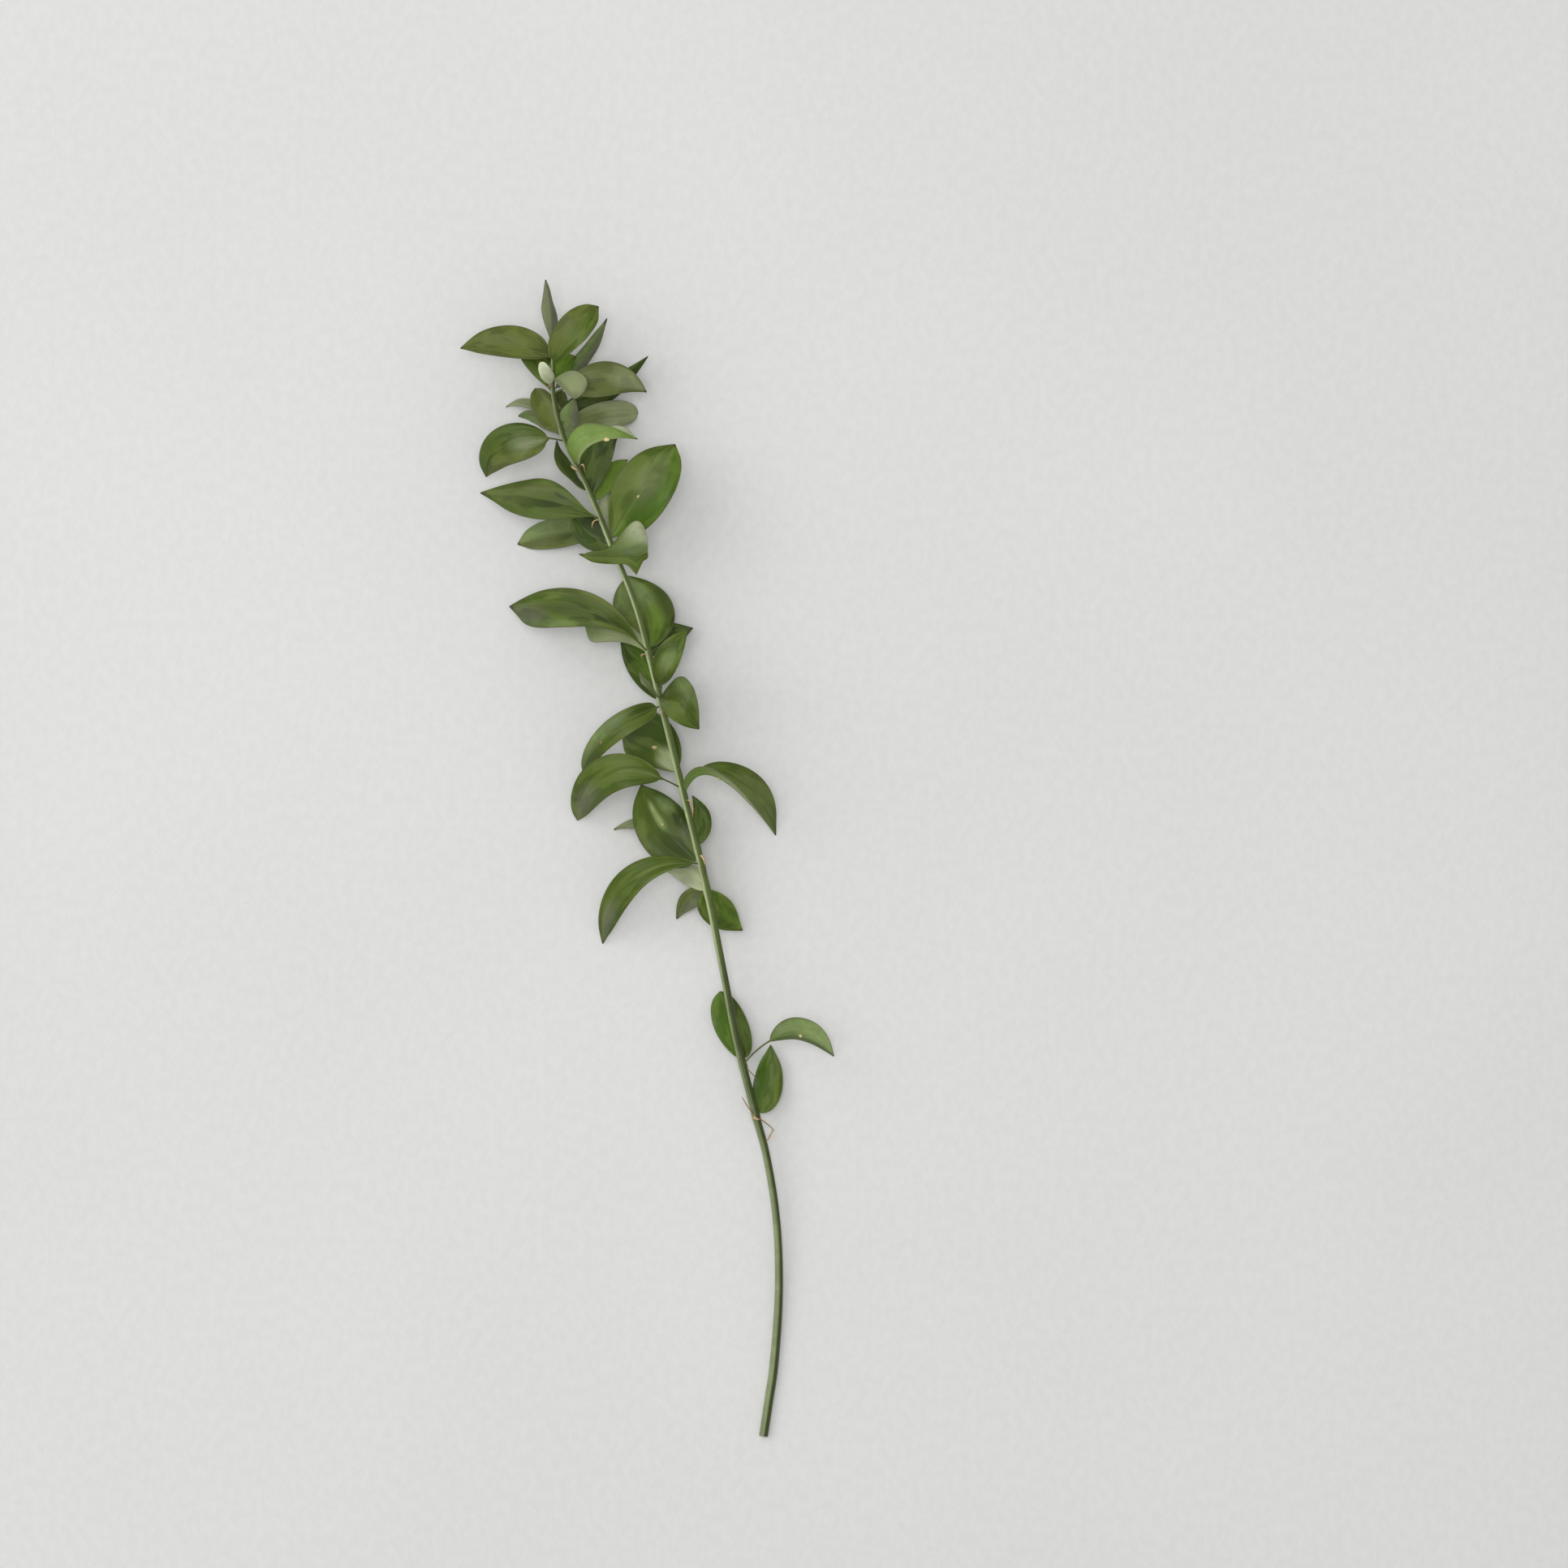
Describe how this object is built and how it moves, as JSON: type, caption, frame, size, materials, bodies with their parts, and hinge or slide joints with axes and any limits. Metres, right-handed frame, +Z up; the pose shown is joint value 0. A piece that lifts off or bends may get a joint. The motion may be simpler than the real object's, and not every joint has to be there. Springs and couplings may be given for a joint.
{
  "type": "ruscus stem",
  "caption": "Cut stem of broad-leaved ruscus lying down, with pointed oval leaves on short stalks, dry scales at the joints and tiny flower buds.",
  "frame": {"origin": "centre of the footprint, on the surface that the stem lies on", "axes": "+Z up from the surface, +Y from the cut end towards the growing tip, +X to the right seen from above"},
  "size_m": [0.1938, 0.5998, 0.0585],
  "materials": {
    "leaf": "semi-gloss leaf, mid green above and grey-green below",
    "stem": "satin green stem, ribbed lengthwise",
    "dry_scale": "matt, papery, straw-coloured"
  },
  "bodies": {
    "root": {"leafy_stem": "leaf"}
  },
  "joints": []
}
